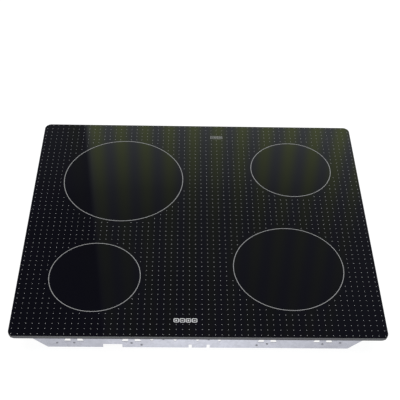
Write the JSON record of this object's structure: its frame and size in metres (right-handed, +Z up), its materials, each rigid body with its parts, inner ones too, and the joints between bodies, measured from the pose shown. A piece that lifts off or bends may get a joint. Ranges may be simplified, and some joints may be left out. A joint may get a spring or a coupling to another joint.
{
  "type": "induction cooktop",
  "caption": "Built-in induction cooktop: black glass plate with ring-marked zones over a galvanised sheet casing with coils, blowers and power boards",
  "frame": {"origin": "under the middle of the glass, on the plane of the casing's lower edge", "axes": "+X to the cook's right, +Y away from the cook, +Z up"},
  "size_m": [0.58, 0.51, 0.051],
  "materials": {
    "black_glass": "polished black glass-ceramic",
    "silicone": "matt silicone",
    "foam": "closed-cell foam tape",
    "galvanised_steel": "galvanised sheet, faint spangle",
    "deck_aluminium": "mill finish",
    "carrier_plastic": "glass-filled moulding",
    "litz_copper": "enamelled copper litz",
    "mica": "mica sheet",
    "ferrite": "matt ferrite",
    "white_plastic": "natural white moulding",
    "spring_steel": "drawn spring wire",
    "circuit_board": "solder mask",
    "black_plastic": "fine texture",
    "ribbon_grey": "flat cable",
    "zinc_steel": "zinc plated"
  },
  "bodies": {
    "housing": {"glass_top": "black_glass", "glass_adhesive": "silicone", "worktop_seal": "foam", "frame_skirt": "galvanised_steel", "base_tray": "galvanised_steel", "power_board_left": "circuit_board", "power_board_right": "circuit_board", "heat_sink_left": "deck_aluminium", "heat_sink_right": "deck_aluminium", "filter_board": "circuit_board", "control_board": "circuit_board", "signal_ribbon": "ribbon_grey", "fan_housing_left": "black_plastic", "fan_housing_right": "black_plastic", "fan_motor_left": "litz_copper", "fan_motor_right": "litz_copper", "terminal_box": "black_plastic", "terminal_block": "white_plastic", "control_socket": "white_plastic", "clamp_screw_rear_left": "zinc_steel", "clamp_screw_rear_right": "zinc_steel", "clamp_screw_front_left": "zinc_steel", "clamp_screw_front_right": "zinc_steel", "deck_spring_rear_left": "spring_steel", "deck_spring_rear_right": "spring_steel", "deck_spring_front_left": "spring_steel", "deck_spring_front_right": "spring_steel", "coil_lead_rear_left": "white_plastic", "coil_lead_rear_right": "white_plastic", "coil_lead_front_left": "white_plastic", "coil_lead_front_right": "white_plastic"},
    "deck_left": {"coil_deck_left": "deck_aluminium", "ferrite_star_rear_left": "ferrite", "coil_carrier_rear_left": "carrier_plastic", "coil_winding_rear_left": "litz_copper", "mica_sheet_rear_left": "mica", "temperature_sensor_rear_left": "white_plastic", "ferrite_star_front_left": "ferrite", "coil_carrier_front_left": "carrier_plastic", "coil_winding_front_left": "litz_copper", "mica_sheet_front_left": "mica", "temperature_sensor_front_left": "white_plastic"},
    "deck_right": {"coil_deck_right": "deck_aluminium", "ferrite_star_rear_right": "ferrite", "coil_carrier_rear_right": "carrier_plastic", "coil_winding_rear_right": "litz_copper", "mica_sheet_rear_right": "mica", "temperature_sensor_rear_right": "white_plastic", "ferrite_star_front_right": "ferrite", "coil_carrier_front_right": "carrier_plastic", "coil_winding_front_right": "litz_copper", "mica_sheet_front_right": "mica", "temperature_sensor_front_right": "white_plastic"},
    "fan_left": {"fan_rotor_left": "black_plastic"},
    "fan_right": {"fan_rotor_right": "black_plastic"},
    "cover": {"terminal_cover": "black_plastic"},
    "clamp_rear_left": {"clamp_bracket_rear_left": "zinc_steel"},
    "clamp_rear_right": {"clamp_bracket_rear_right": "zinc_steel"},
    "clamp_front_left": {"clamp_bracket_front_left": "zinc_steel"},
    "clamp_front_right": {"clamp_bracket_front_right": "zinc_steel"}
  },
  "joints": [
    {"name": "deck_left_float", "type": "slide", "parent": "housing", "child": "deck_left", "axis": [0, 0, 1], "range_m": [-0.003, 0], "stiffness_N_per_m": 4000, "springref_m": 0.012, "deforming": ["deck_spring_rear_left", "deck_spring_front_left", "coil_lead_rear_left", "coil_lead_front_left"]},
    {"name": "fan_left_spin", "type": "hinge", "parent": "housing", "child": "fan_left", "pos_m": [-0.15, 0.155, 0.015], "axis": [0, 0, 1], "continuous": true},
    {"name": "deck_right_float", "type": "slide", "parent": "housing", "child": "deck_right", "axis": [0, 0, 1], "range_m": [-0.003, 0], "stiffness_N_per_m": 4000, "springref_m": 0.012, "deforming": ["deck_spring_rear_right", "deck_spring_front_right", "coil_lead_rear_right", "coil_lead_front_right"]},
    {"name": "fan_right_spin", "type": "hinge", "parent": "housing", "child": "fan_right", "pos_m": [0.15, 0.155, 0.015], "axis": [0, 0, 1], "continuous": true},
    {"name": "clamp_rear_left_swivel", "type": "hinge", "parent": "housing", "child": "clamp_rear_left", "pos_m": [-0.262, 0.12, 0.0065], "axis": [0, 0, -1], "range_deg": [0, 90]},
    {"name": "clamp_rear_right_swivel", "type": "hinge", "parent": "housing", "child": "clamp_rear_right", "pos_m": [0.262, 0.12, 0.0065], "axis": [0, 0, 1], "range_deg": [0, 90]},
    {"name": "clamp_front_left_swivel", "type": "hinge", "parent": "housing", "child": "clamp_front_left", "pos_m": [-0.262, -0.12, 0.0065], "axis": [0, 0, 1], "range_deg": [0, 90]},
    {"name": "clamp_front_right_swivel", "type": "hinge", "parent": "housing", "child": "clamp_front_right", "pos_m": [0.262, -0.12, 0.0065], "axis": [0, 0, -1], "range_deg": [0, 90]},
    {"name": "terminal_cover_hinge", "type": "hinge", "parent": "housing", "child": "cover", "pos_m": [0.053, 0.2354, 0.0034], "axis": [-1, 0, 0], "range_deg": [0, 90]}
  ]
}
